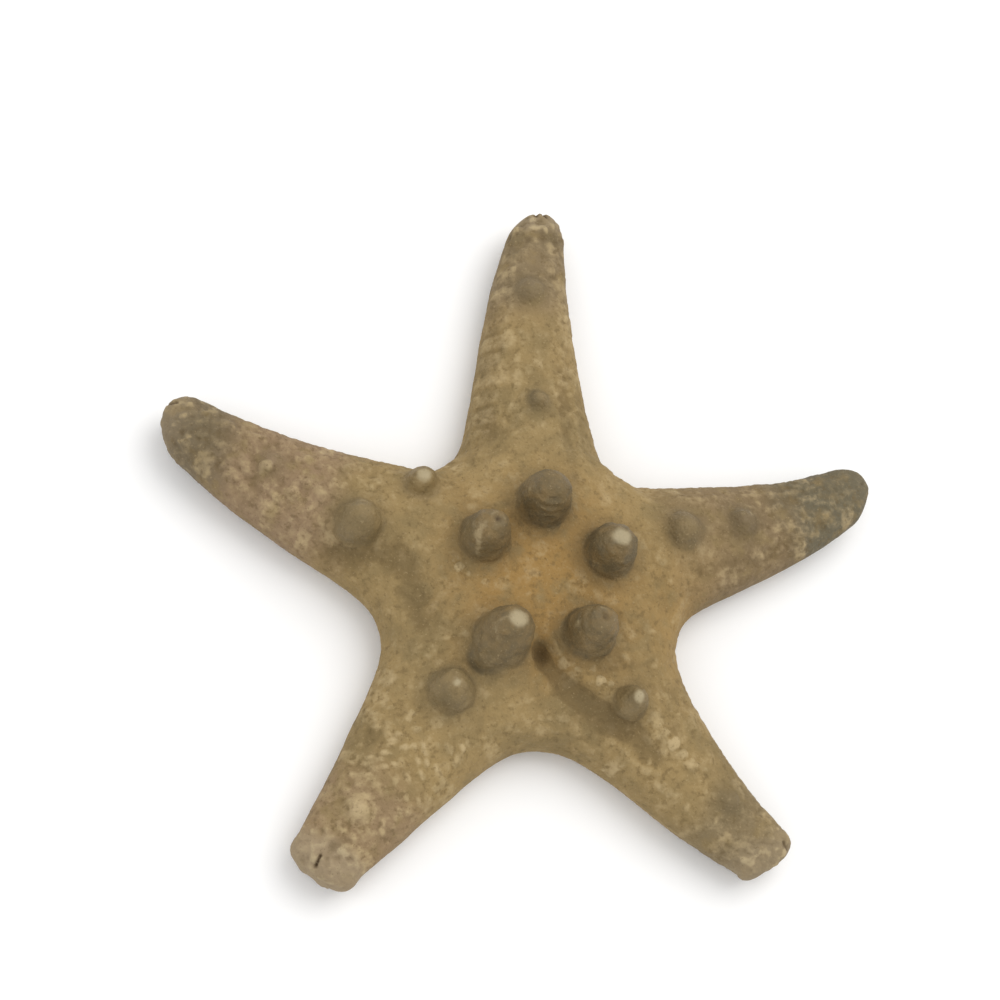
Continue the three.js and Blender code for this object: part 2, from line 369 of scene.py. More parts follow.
def addObject(name, data):
    thing = bpy.data.objects.new(name, data)
    bpy.context.collection.objects.link(thing)
    return thing


def makeMesh(name, points, faces):
    mesh = bpy.data.meshes.new(name)
    mesh.from_pydata((points / 1000).tolist(), [], faces.tolist())
    mesh.update()
    return addObject(name, mesh)


def weld(mesh):
    # joins points that lie on each other, so that the pegs' ends close
    skin = bmesh.new()
    skin.from_mesh(mesh)
    bmesh.ops.remove_doubles(skin, verts=skin.verts, dist=1e-6)
    skin.to_mesh(mesh)
    skin.free()


def useModifier(piece, kind, **settings):
    step = piece.modifiers.new(kind.lower(), kind)
    for key, value in settings.items():
        setattr(step, key, value)
    bpy.context.view_layer.objects.active = piece
    bpy.ops.object.modifier_apply(modifier=step.name)


def readRows(items, name, width, kind):
    flat = np.empty(len(items) * width, dtype=kind)
    items.foreach_get(name, flat)
    return flat.reshape(-1, width)


def readPoints(mesh):
    return readRows(mesh.vertices, "co", 3, float) * 1000


def writePoints(mesh, points):
    mesh.vertices.foreach_set("co", (points / 1000).ravel())
    mesh.update()


def readNormals(mesh):
    return readRows(mesh.vertex_normals, "vector", 3, np.float32).astype(float)


def readEdges(mesh):
    return readRows(mesh.edges, "vertices", 2, np.int32)


def relax(points, edges, rounds, strength):
    # each point moves towards the middle of its neighbours
    count = len(points)
    degree = np.bincount(edges.ravel(), minlength=count).clip(1)
    strength = np.broadcast_to(strength, count)[:, None]
    for _ in range(rounds):
        total = np.empty_like(points)
        for axis in range(3):
            total[:, axis] = (np.bincount(edges[:, 0], points[edges[:, 1], axis], count)
                              + np.bincount(edges[:, 1], points[edges[:, 0], axis], count))
        points = mix(points, total / degree[:, None], strength)
    return points


print("building the skin")
placeHorns()
points, faces = bodySkin()
for horn in horns:
    more, moreFaces = hornSkin(horn)
    faces = np.concatenate([faces, moreFaces + len(points)])
    points = np.concatenate([points, more])
starfish = makeMesh("starfish_body", points, faces)
useModifier(starfish, "REMESH", mode="VOXEL", voxel_size=body["voxel"] / 1000)
print("remeshed to", len(starfish.data.vertices), "points")


def hornPlace(points, horn):
    # how far up the horn's axis each point is, how far from it, and the angle round it
    rel = points - horn["foot"]
    up = rel @ horn["axis"]
    side = rel - up[:, None] * horn["axis"]
    return up, np.linalg.norm(side, axis=1), np.arctan2(side[:, 1], side[:, 0])


def roundOff(points, edges):
    # takes the remesher's steps away, and fillets the foot of each horn
    points = relax(points, edges, body["smoothing"], 0.5)
    foot = np.zeros(len(points))
    for horn in horns:
        up, away, _ = hornPlace(points, horn)
        ring = bell(away - 1.02 * horn["radius"], 0.36 * horn["radius"]) * bell(up, 2.2)
        foot = np.maximum(foot, ring)
    return relax(points, edges, body["filleting"], 0.5 * foot)


def locate(points):
    # where each point lies on the starfish, for the relief and for the colours
    index, arm, out, offset, share = findPlace(points)
    aboveRim = points[:, 2] - body["rim"] - liftAt(arm, out)
    return {
        "points": points, "index": index, "arm": arm, "out": out, "offset": offset, "share": share,
        "left": arm["length"] - out,                 # how much arm there is beyond
        "aboveRim": aboveRim,
        "top": smoothStep(aboveRim, -0.8, 1.2),
        "onArm": smoothStep(out, 20, 31),
        "shift": 31.7 * index + 13.7,                # a different pattern on each arm
        "horn": np.zeros(len(points)),
    }


def raiseNote(notes, name, values):
    notes[name] = np.maximum(notes[name], values)


hornFinish = {
    "ring": 0.1,        # steps of growth in mm, clearest near the top
    "ringPitch": 1.5,
    "lumps": 0.24,       # weathering of the flanks
    "lumpSize": 1.7,
    # the darker ring round a horn's foot is partly the horn's own olive tint, partly painted shade at
    # the foot
    "footTintAndShade": 0.75,       # how far the dark colour spreads round the foot, in radii
    "streak": 0.45,      # pale worn stripes down the flanks
}


def carveHorns(at, notes):
    points = at["points"]
    push = np.zeros(len(points))
    weather = cloud(points, hornFinish["lumpSize"], 10) + 0.5 * cloud(points, 0.9, 12)
    patchy = cloud(points, 1.5, 9)
    mottle = 0.88 + 0.25 * cloud(points, 2.1, 7) + 0.15 * cloud(points, 1.0, 8)
    for horn in horns:
        tall, radius = horn["height"], horn["radius"]
        up, away, turn = hornPlace(points, horn)
        foot = 1.25 * radius - away
        on = smoothStep(foot, 0, 0.35 * radius) * smoothStep(up, -1.2, 0.6) * at["top"]
        at["horn"] = np.maximum(at["horn"], on)
        push += hornFinish["lumps"] * weather * on * min(1, tall / 6)
        wobble = 0.3 * cloud(points, 2.5, 5) + 0.22 * np.sin(turn + tall)
        ring = np.maximum(np.cos(2 * np.pi * (up / hornFinish["ringPitch"] + wobble)), -0.6)
        broken = smoothStep(cloud(points, 3.2, 16), -0.5, 0.4) * smoothStep(up, 0.3 * tall, 0.6 * tall)
        push += hornFinish["ring"] * horn["rings"] * on * ring * (0.25 + 0.75 * broken)
        spread = hornFinish["footTintAndShade"] * radius
        # a darker ring round the foot: partly the horn's own tint, partly painted shade
        footTintAndShade = smoothStep(1.05 * radius + spread - away, 0, spread) * bell(up - 0.5, 3.0) * at["top"]
        if horn["grey"] > 0:
            # painted light: the horns' tops are painted a little less grey
            litTop = 1 - 0.06 * smoothStep(up, 0.5 * tall, 0.9 * tall)
            shade = np.maximum(on * litTop * mottle, 0.4 * footTintAndShade) * horn["grey"]
            raiseNote(notes, "grey", np.where(on + footTintAndShade > 0.02, shade, 0))
        else:
            raiseNote(notes, "tone", -horn["grey"] * on * (0.9 + 0.5 * patchy))
        around = np.stack([3.2 * np.cos(turn), 3.2 * np.sin(turn), up / 4 + tall], axis=1)
        stripes = smoothStep(cloud(around, 1.6, 18), 0.25, 0.75) * on
        stripes = stripes * smoothStep(up, 0.25 * tall, 0.6 * tall)
        raiseNote(notes, "tone", hornFinish["streak"] * stripes)
        if "fold" in horn:
            beside = (turn - horn["fold"] + 0.12 * up + np.pi) % (2 * np.pi) - np.pi
            crease = bell(beside + 0.25 * patchy, 0.3) * on * smoothStep(up, 0.15 * tall, 0.35 * tall)
            crease = crease * (1 - smoothStep(up, 0.85 * tall, tall))
            push += 0.3 * crease
            raiseNote(notes, "tone", 0.6 * crease)
        tip = horn["foot"] + horn["axis"] * tall
        if horn["worn"]:
            near = np.linalg.norm((points - tip) * (1, 1, 0.7), axis=1) + 0.35 * patchy
            rubbed = 1 - smoothStep(near, 0.6 * horn["worn"], 1.15 * horn["worn"])
            raiseNote(notes, "worn", 0.85 * rubbed)
            push -= 0.12 * rubbed
        if horn["pit"]:
            pit = horn["pit"]
            middle = tip + np.array([0.35, 0.35, 0]) * pit
            near = np.linalg.norm((points - middle)[:, :2], axis=1)
            high = smoothStep(up, 0.7 * tall, 0.85 * tall)
            lip = near - 1.5 * pit
            push += (0.14 * bell(lip, 0.5 * pit) - 0.5 * pit * bell(near, 0.65 * pit)) * high
            # painted shade in the hole at the horn's top
            raiseNote(notes, "hollowShade", horn["pitShade"] * bell(near, 0.6 * pit) * high)
            raiseNote(notes, "tone", 0.3 * bell(lip, 0.45 * pit) * high)
    return push


backRelief = {
    "swell": 0.42,         # broad unevenness of the dried back, mm
    "wrinkles": 0.17,      # shrinkage of the skin
    "plates": 0.24,        # oval plates of the arms
    "platePitch": (2.9, 2.2),
    "beads": 0.3,         # small raised grains in slanting rows
    "beadPitch": (1.35, 1.9),
    "disc": 0.15,          # shallow net of plates on the disc
    "discPitch": 3.0,
    "edgePlates": 0.08,    # the row of square plates along each edge
    "edgePitch": 3.4,
    "edgeBand": 4.0,
    "grains": 0.13,        # fine granules everywhere
    "grainPitch": 0.95,
    "knobbly": 0.28,       # the puckered skin at the arms' ends
}

# how thickly each arm is set with beads and how pale they are, how coarse its plates are, and how
# puckered its end
armSkin = {
    "north": {"beads": 0.4, "speckle": 0.35, "plates": 1.0, "knobbly": 1.4},
    "west": {"beads": 0.95, "speckle": 0.35, "plates": 1.7, "knobbly": 0.9},
    "southwest": {"beads": 0.65, "speckle": 0.75, "plates": 0.9, "knobbly": 1.0},
    "southeast": {"beads": 0.35, "speckle": 0.45, "plates": 1.2, "knobbly": 1.0},
    "east": {"beads": 0.5, "speckle": 0.35, "plates": 0.8, "knobbly": 0.3},
}


def armShare(name, at):
    return np.array([armSkin[arm][name] for arm in armNames])[at["index"]]


def carveBack(at, notes):
    points, out, offset, shift, top = at["points"], at["out"], at["offset"], at["shift"], at["top"]
    bare = 1 - at["horn"]
    middleOfArm = 1 - smoothStep(np.abs(at["share"]), 0.6, 0.95)
    coarse = armShare("plates", at)

    push = backRelief["swell"] * top * (0.7 * cloud(points, 9, 1) + 0.5 * cloud(points, 4.5, 2))
    push = push * (1 - 0.6 * at["horn"]) * mix(0.35, 1, middleOfArm)
    wrinkle = cloud(points, 2.0, 4) + 0.5 * cloud(points, 1.1, 6)
    push += backRelief["wrinkles"] * top * wrinkle * (1 - 0.5 * at["horn"]) * mix(0.4, 1, middleOfArm)

    # oval plates, lying in slanting rows
    pitchOut, pitchAcross = backRelief["platePitch"]
    slant = np.stack([(out + 0.55 * np.abs(offset)) / pitchOut, offset / pitchAcross + shift], axis=1)
    first, _, number = pebbles(slant, 1.0, 11, 0.75)
    oval = np.clip(1 - (first / 0.62) ** 2, 0, 1)
    field = at["onArm"] * top * bare * smoothStep(at["left"], 2.5, 6) * mix(0.3, 1, middleOfArm)
    bold = mix(0.35, 1.0, smoothStep(number, 0.25, 0.6))
    push += backRelief["plates"] * coarse * field * (oval * bold - 0.35)
    raiseNote(notes, "tone", 0.6 * coarse ** 0.4 * field * oval * (number - 0.3))

    # small beads between them, thickest half way along an arm
    pitchOut, pitchAcross = backRelief["beadPitch"]
    slant = np.stack([(out - 0.35 * np.abs(offset)) / pitchOut, offset / pitchAcross + shift], axis=1)
    first, _, number = pebbles(slant, 1.0, 13, 0.8)
    crowd = armShare("beads", at) * smoothStep(out, 25, 34) * smoothStep(at["left"], 4, 10)
    crowd = crowd * middleOfArm + 0.3 * cloud(points, 6, 15) - 0.12
    bead = np.clip(1 - (first / 0.55) ** 2, 0, 1) * smoothStep(crowd - number, -0.05, 0.12) * field
    push += backRelief["beads"] * bead
    bright = mix(0.5, 1, scatter(np.floor(slant).astype(int), 14))
    raiseNote(notes, "tone", armShare("speckle", at) * bead * bright)

    # a shallow net of plates on the disc
    first, second, number = pebbles(points, backRelief["discPitch"], 21, 0.85)
    net = smoothStep(second - first, 0.0, 0.35)
    push += backRelief["disc"] * (1 - at["onArm"]) * top * bare * (net - 0.5)
    raiseNote(notes, "tone", 0.3 * (1 - at["onArm"]) * top * bare * net * smoothStep(number, 0.5, 1.0))

    # square plates along the edges, clear above the rim and again below it
    inward = (1 - np.abs(at["share"])) * halfWidth(at["arm"], out, offset)
    side = np.sign(offset)
    beat = (out + shift + 0.9 * side) / backRelief["edgePitch"]
    beat = beat + 0.2 * cloud(np.stack([out, shift + 9 * side], axis=1), 3.0, 31)
    beat = beat + 0.1 * cloud(points, 1.6, 32)
    square = smoothStep(0.5 - np.abs(beat - np.round(beat)), 0.04, 0.22)
    field = smoothStep(out, body["neck"] + 1, body["neck"] + 7) * smoothStep(at["left"], 3, 6) * bare
    upper = smoothStep(backRelief["edgeBand"] + 0.9 * cloud(points, 2.4, 34) - inward, 0, 1.0)
    upper = upper * smoothStep(at["aboveRim"], 0.8, 2.2)
    lower = smoothStep(2.6 - inward, 0, 0.8) * smoothStep(-at["aboveRim"], 1.4, 2.6)
    push += backRelief["edgePlates"] * field * np.maximum(upper, 0.4 * lower) * (square - 0.6)
    each = np.stack([np.round(beat).astype(int), (shift + side).astype(int)], axis=1)
    chosen = smoothStep(scatter(each, 33), 0.2, 0.9) * (0.75 + 0.4 * cloud(points, 1.7, 35))
    raiseNote(notes, "tone", 0.5 * field * upper * square * chosen)

    # fine granules, and the puckered ends of the arms
    first, _, number = pebbles(points, backRelief["grainPitch"], 51, 0.8)
    grain = np.clip(1 - (first / 0.7) ** 2, 0, 1) * mix(0.5, 1, number)
    atRim = smoothStep(np.abs(at["aboveRim"] + 0.4), 0.6, 2.2)
    calm = mix(1, 0.55, at["horn"]) * mix(0.75, 1, at["onArm"]) * mix(0.1, 1, atRim)
    push += backRelief["grains"] * (grain - 0.4) * calm
    atEnd = smoothStep(9 - at["left"], 0, 4) * top * smoothStep(at["aboveRim"], 0.5, 2.0)
    pucker = armShare("knobbly", at) * atEnd
    knots = 0.8 * cloud(points, 1.4, 91) + 0.7 * cloud(points, 0.7, 92)
    push += backRelief["knobbly"] * pucker * knots
    raiseNote(notes, "tone", 0.7 * pucker * smoothStep(knots, 0.0, 0.9))
    # painted shade in the hollows between the knots
    raiseNote(notes, "hollowShade", 0.3 * pucker * smoothStep(-knots, 0.3, 1.0))
    return push


bellyRelief = {
    "plates": 0.3,           # plates in rows beside the grooves
    "pitch": (2.6, 2.3),
    "unevenness": 0.15,
    "comb": 0.2,             # the ridged lip of each groove
    "combPitch": 1.45,
}


def carveBelly(at, notes):
    points, out, under = at["points"], at["out"], 1 - at["top"]
    beside = np.abs(at["offset"]) - grooveHalf(at["arm"], out)
    pitchOut, pitchAcross = bellyRelief["pitch"]
    flat = np.stack([(out - 0.3 * beside) / pitchOut, beside / pitchAcross + at["shift"]], axis=1)
    first, second, number = pebbles(flat, 1.0, 41, 0.45)
    tile = smoothStep(second - first, 0.0, 0.3)
    field = under * smoothStep(beside, 0.3, 1.2) * mix(0.15, 1, smoothStep(-at["aboveRim"], 1.7, 3.2))
    push = bellyRelief["plates"] * field * (tile - 0.5)
    push += bellyRelief["unevenness"] * under * cloud(points, 5, 3)
    comb = np.cos(2 * np.pi * out / bellyRelief["combPitch"])
    push += bellyRelief["comb"] * under * bell(beside - 0.35, 0.7) * comb
    raiseNote(notes, "tone", 0.5 * field * tile * smoothStep(number, 0.3, 0.9))
    return push


# valleys of the dried skin and, where deep is negative, ridges: how wide, how deep, their points in
# plan, and for some the shade painted into the valley and how grey it is, and between what distances
# from the first point they fade
folds = [
    (1.9, 0.95, [(-0.2, -13.4), (0.9, -14.8), (4.6, -18.8), (9.7, -22.3), (16.5, -25.8), (19.5, -28.6),
                 (25.0, -34.0)], {"hollowShade": 0.07, "grey": 0.25, "fade": (17, 32)}),
    (1.5, -1.1, [(1.2, -11.9), (3.6, -14.4), (7.4, -16.6), (11.0, -19.0)], {}),
    (2.3, 0.5, [(-34.3, 3.2), (-31.0, 2.2), (-27.9, 3.1), (-24.6, 2.6), (-22.1, -0.1), (-21.2, -3.5),
                (-19.9, -7.5)], {"hollowShade": 0.02}),
    (1.5, -0.4, [(-20.5, 5.5), (-17.8, 1.6), (-17.2, -2.0)], {}),
    (1.4, 0.22, [(-9.1, 26.5), (-8.2, 38.0), (-6.8, 49.0)], {"hollowShade": 0.08}),
    (1.4, 0.3, [(5.5, 17.0), (4.9, 28.0), (4.3, 38.0)], {"hollowShade": 0.1}),
    (1.8, -0.25, [(-2.4, 21.0), (-2.0, 33.0)], {}),
    (1.6, 0.12, [(27.5, 3.5), (35.0, 5.0), (44.0, 9.5)], {"hollowShade": 0.02}),
]

# single lumps standing on the back: place in plan, radius, height, and how pale they are worn
lumps = [
    ((19.2, -22.9), 1.6, 0.65, 0.35),
    ((21.0, -25.0), 1.0, 0.5, 0.4),
    ((22.4, -26.7), 1.3, 0.65, 0.65),
    ((24.2, -28.4), 1.0, 0.55, 0.65),
    ((25.5, -30.2), 1.35, 0.55, 0.35),
    ((9.7, -17.3), 1.0, 0.5, 0.8),
    ((11.4, -17.7), 0.8, 0.4, 0.5),
    ((8.6, -15.4), 0.7, 0.35, 0.35),
    ((3.4, -14.9), 1.1, 0.45, 0.42),
    ((5.6, -15.9), 0.9, 0.4, 0.3),
    ((2.2, -12.4), 0.9, 0.45, 0.25),
    ((-14.1, 0.6), 0.8, 0.45, 0.6),
    ((-12.6, -0.6), 0.6, 0.35, 0.4),
    ((-9.8, -1.8), 0.7, 0.3, 0.3),
    ((4.5, -1.9), 1.3, 0.25, 0.18),
    ((-38.8, 14.2), 1.5, 0.5, 0.2),
    ((-41.6, 12.4), 1.3, 0.5, 0.3),
    ((-46.4, 16.4), 1.4, 0.5, 0.3),
]

# the hole by the middle of the disc, with painted shade in it
hole = {"at": (-0.1, -13.4), "radius": 1.1, "stretch": 0.55, "depth": 1.6, "hollowShade": 0.42}

# rough places: where in plan, radius, depth and pitch of the pits, and how grey
roughPlaces = [
    ((-15.5, -2.0), 5.5, 0.28, 0.85, 0.15),
    ((-55.7, 22.3), 5.0, 0.3, 1.1, 0.45),
    ((52.5, 22.5), 5.0, 0.16, 1.2, 0.3),
    ((-3.0, 63.5), 1.5, 0.25, 1.0, 0.5),
    ((2.9, 64.0), 1.7, 0.2, 1.1, 0.5),
    ((-3.3, 60.7), 1.2, 0.25, 1.0, 0.45),
]

# the slits in the arms' ends: distance from the end, to the left, half the length, half the width,
# depth, the shade painted into them, and how far they turn from the arm's line, in radians
slits = [
    ("southwest", 1.7, -0.7, 1.05, 0.26, 0.7, 1.1, -0.3),
    ("north", 0.9, 0.9, 0.8, 0.3, 0.5, 0.8, 0.3),
    ("north", 0.9, -0.7, 0.8, 0.3, 0.5, 0.8, -0.3),
    ("west", 1.1, -1.4, 0.9, 0.3, 0.5, 0.8, -0.5),
    ("southeast", 1.5, 2.6, 0.9, 0.3, 0.4, 0.7, 0.6),
    ("east", 1.2, 0.0, 0.8, 0.3, 0.3, 0.25, 0.0),
]

# the blunt ends' corners: distance from the end, to the left, radius, height
corners = [
    ("southwest", 2.6, 4.9, 1.8, 0.6),
    ("southwest", 2.2, -4.6, 1.6, 0.45),
    ("southeast", 1.8, -4.2, 1.3, 0.8),
]


def planDistance(points, place):
    return np.hypot(points[:, 0] - place[0], points[:, 1] - place[1])


def pathDistance(points, path):
    # distance in plan to a chain of straight stretches
    best = np.full(len(points), 1e9)
    for (ax, ay), (bx, by) in zip(path, path[1:]):
        along = np.array([bx - ax, by - ay])
        rel = points[:, :2] - (ax, ay)
        t = np.clip(rel @ along / (along @ along), 0, 1)
        best = np.minimum(best, np.hypot(rel[:, 0] - t * along[0], rel[:, 1] - t * along[1]))
    return best


def carveFeatures(at, notes):
    points, top = at["points"], at["top"]
    push = np.zeros(len(points))
    wander = 0.5 * cloud(points, 2.2, 61)
    for wide, deep, path, more in folds:
        away = (pathDistance(points, path) + wander) / wide
        near = np.exp(-np.abs(away) ** 3) * top * (1 - at["horn"])
        if "fade" in more:
            near = near * (1 - smoothStep(planDistance(points, path[0]), *more["fade"]))
        push -= deep * near
        # painted shade along the valley
        raiseNote(notes, "hollowShade", more.get("hollowShade", 0) * near)
        raiseNote(notes, "grey", more.get("grey", 0) * near * (0.8 + 0.8 * wander))
    ragged = 0.35 * cloud(points, 1.0, 63)
    for place, radius, height, worn in lumps:
        away = planDistance(points, place) / radius + ragged
        dome = np.clip(1 - away ** 2, 0, 1) ** 0.7 * top
        push += height * dome
        raiseNote(notes, "tone", 1.3 * worn * smoothStep(dome, 0.1, 0.7))
    away = np.hypot(points[:, 0] - hole["at"][0], hole["stretch"] * (points[:, 1] - hole["at"][1]))
    sunk = bell(away + 0.6 * ragged, hole["radius"]) * top
    push -= hole["depth"] * sunk
    raiseNote(notes, "hollowShade", hole["hollowShade"] * sunk)
    for number, (place, radius, depth, pitch, grey) in enumerate(roughPlaces):
        away = planDistance(points, place) + 1.5 * wander
        pitted = bell(away, radius) * top * (1 - at["horn"])
        first, _, kind = pebbles(points, pitch, 71 + number, 0.9)
        push -= depth * pitted * np.clip(1 - (first / 0.5) ** 2, 0, 1)
        raiseNote(notes, "grey", grey * pitted)
        raiseNote(notes, "tone", 0.9 * pitted * smoothStep(kind, 0.86, 0.95) * bell(first, 0.4))
    for name, back, side, long, wide, deep, hollowShade, turn in slits:
        here = at["index"] == armNames.index(name)
        back, aside = at["left"] - back, at["offset"] - side
        along = np.abs(back * np.cos(turn) + aside * np.sin(turn))
        across = aside * np.cos(turn) - back * np.sin(turn)
        cut = bell(across + 0.3 * wander, wide) * here
        cut = cut * (1 - smoothStep(along, 0.7 * long, 1.3 * long))
        cut = cut * smoothStep(at["aboveRim"], -2.0, -0.5)
        push -= deep * cut
        raiseNote(notes, "hollowShade", hollowShade * cut)
    for name, back, side, radius, height in corners:
        here = at["index"] == armNames.index(name)
        push += height * bell(np.hypot(at["left"] - back, at["offset"] - side), radius) * here
    return push


def carve(mesh):
    # moves every point along its normal, and notes what the colours need to know about each place
    points = roundOff(readPoints(mesh), readEdges(mesh))
    writePoints(mesh, points)
    normals = readNormals(mesh)
    at = locate(points)
    notes = {name: np.zeros(len(points)) for name in ("grey", "worn", "hollowShade", "tone")}
    push = sum(tool(at, notes) for tool in (carveHorns, carveBack, carveBelly, carveFeatures))
    writePoints(mesh, points + normals * push[:, None])
    # painted shade: the deeper a place is sunk, the darker it is painted
    notes["low"] = -push
    return notes


def fitInside(mesh):
    # the finished skin keeps inside the solid's own box, and moves to its place in the frame
    points = readPoints(mesh)
    low, high = np.array([list(corner) for corner in cadBox]) * 1000 - (*discCentre, 0)
    nowLow, nowHigh = points.min(axis=0), points.max(axis=0)
    margin = 0.02
    scale = np.minimum(1, (high - low - 2 * margin) / (nowHigh - nowLow))
    moved = (points - nowLow) * scale
    target = np.clip(nowLow, low + margin, high - margin - (nowHigh - nowLow) * scale)
    mesh.vertices.foreach_set("co", toFrame(moved + target).ravel())
    mesh.update()


zones = carve(starfish.data)
fitInside(starfish.data)
print("carved the relief")


def useDecimate(piece, most):
    # thins the mesh where it is smooth, until it has few enough triangles
    triangles = sum(len(face.vertices) - 2 for face in piece.data.polygons)
    if triangles > most:
        useModifier(piece, "DECIMATE", decimate_type="COLLAPSE", ratio=most / triangles)


def setZone(mesh, name, values):
    layer = mesh.attributes.new(name, "FLOAT", "POINT")
    layer.data.foreach_set("value", np.asarray(values, dtype=np.float32))


# how brown, pinkish, ashen and pale at its end each arm is, and from how many mm before its end;
# soft is how many mm the change takes
armTints = {
    "brown": {"soft": 14, "north": (0.15, 40), "west": (0.3, 38), "southwest": (0.1, 30),
              "southeast": (0.25, 26), "east": (1.1, 40)},
    "pink": {"soft": 10, "north": (0.5, 24), "west": (0.9, 38), "southwest": (0.7, 24),
             "southeast": (0.25, 16), "east": (0.3, 44)},
    "ash": {"soft": 8, "north": (0.45, 22), "west": (0.75, 15), "southwest": (0.2, 9),
            "southeast": (0.5, 18), "east": (1.2, 22)},
    "cap": {"soft": 3, "north": (0.55, 6), "west": (0.35, 5), "southwest": (0.65, 7),
            "southeast": (0.45, 7), "east": (0.1, 4)},
}


def colourZones(mesh):
    # where the skin is warm, brown, pinkish, ashen, pale at the ends, or belly-coloured
    at = locate(readPoints(mesh) - (*discCentre, 0))
    points, top = at["points"], at["top"]
    radius = planDistance(points, (0, 0))
    wander = cloud(points, 8, 71) + 0.5 * cloud(points, 3, 72)
    warm = (1 - smoothStep(radius + 3 * wander, 7, 24)) * top
    web = bell(planDistance(points, (22, -4)), 11) * top
    setZone(mesh, "orange", np.maximum(warm, 0.5 * web))
    for name, tint in armTints.items():
        soft = tint["soft"]
        amount, start = np.array([tint[arm] for arm in armNames])[at["index"]].T
        setZone(mesh, name, amount * smoothStep(start - at["left"] + 0.25 * soft * wander, 0, soft))
    setZone(mesh, "belly", 1 - top)
    setZone(mesh, "horn", hornShare(points))


def hornShare(points):
    share = np.zeros(len(points))
    for horn in horns:
        up, away, _ = hornPlace(points, horn)
        on = smoothStep(1.2 * horn["radius"] - away, 0, 0.4 * horn["radius"]) * smoothStep(up, 0, 1.5)
        share = np.maximum(share, on)
    return share


def mendKinks(mesh):
    # thinning leaves a few points folded over, which are drawn back among their neighbours
    points, normals, edges = readPoints(mesh), readNormals(mesh), readEdges(mesh)
    bent = (normals[edges[:, 0]] * normals[edges[:, 1]]).sum(axis=1) < 0.2
    folded = np.zeros(len(points))
    folded[edges[bent].ravel()] = 1
    for _ in range(2):
        beside = np.maximum(folded[edges[:, 0]], folded[edges[:, 1]])
        np.maximum.at(folded, edges.ravel(), np.repeat(beside, 2))
    print("mended", int(bent.sum()), "kinks")
    writePoints(mesh, relax(points, edges, 8, 0.5 * folded))


for zoneName, values in zones.items():
    setZone(starfish.data, zoneName, values)
useDecimate(starfish, body["mostTriangles"])
mendKinks(starfish.data)
starfish.data.shade_smooth()
print("thinned to", len(starfish.data.polygons), "faces")


def newMaterial(name):
    material = bpy.data.materials.new(name)
    material.use_nodes = True
    material.node_tree.nodes.clear()
    return material, material.node_tree


def addNode(tree, kind, links=None, **settings):
    # makes a node, sets its options and plain socket values, and links its inputs
    node = tree.nodes.new(kind)
    for key, value in settings.items():
        setattr(node, key, value)
    for socket, value in (links or {}).items():
        where = node.inputs[socket]
        if isinstance(value, bpy.types.NodeSocket):
            tree.links.new(value, where)
        else:
            where.default_value = value
    return node


def mixColours(tree, amount, under, over):
    node = addNode(tree, "ShaderNodeMix", {0: amount, 6: under, 7: over}, data_type="RGBA")
    return node.outputs[2]


def calculate(tree, kind, *values, clamp=False):
    node = addNode(tree, "ShaderNodeMath", dict(enumerate(values)), operation=kind, use_clamp=clamp)
    return node.outputs[0]


def between(tree, value, low, high):
    # 0 below low and 1 above high
    node = addNode(tree, "ShaderNodeMapRange", {"Value": value, "From Min": low, "From Max": high},
                   interpolation_type="SMOOTHSTEP")
    return node.outputs["Result"]


def colour(red, green, blue):
    # from screen values of 0 to 255 to the light they stand for
    parts = [(part / 255 / 12.92) if part < 10.3 else ((part / 255 + 0.055) / 1.055) ** 2.4
             for part in (red, green, blue)]
    return (*parts, 1)


skin = {
    "tan": colour(150, 127, 84),
    "orange": colour(152, 119, 66),
    "olive": colour(132, 113, 75),
    "brown": colour(117, 100, 70),
    "pink": colour(138, 115, 90),
    "ash": colour(101, 94, 75),
    "cap": colour(160, 144, 118),
    "pale": colour(182, 161, 121),
    # dark specks of the skin, and painted shade in the sunk places
    "darkSpeckAndShade": colour(98, 80, 48),
    "horn": colour(98, 85, 59),
    # painted shade in holes, pits, slits and valleys
    "deepShade": colour(60, 40, 19),
    "bone": colour(172, 158, 126),
    "belly": colour(158, 136, 96),
    "roughness": (0.84, 0.6),     # of the skin, and of the rubbed horns
    "gloss": 0.3,
    "bump": 0.55,
    "bumpHeight": 0.00025,
    "grain": 0.55,                # mm
}


zoneNames = [*zones, "orange", *armTints, "belly", "horn"]


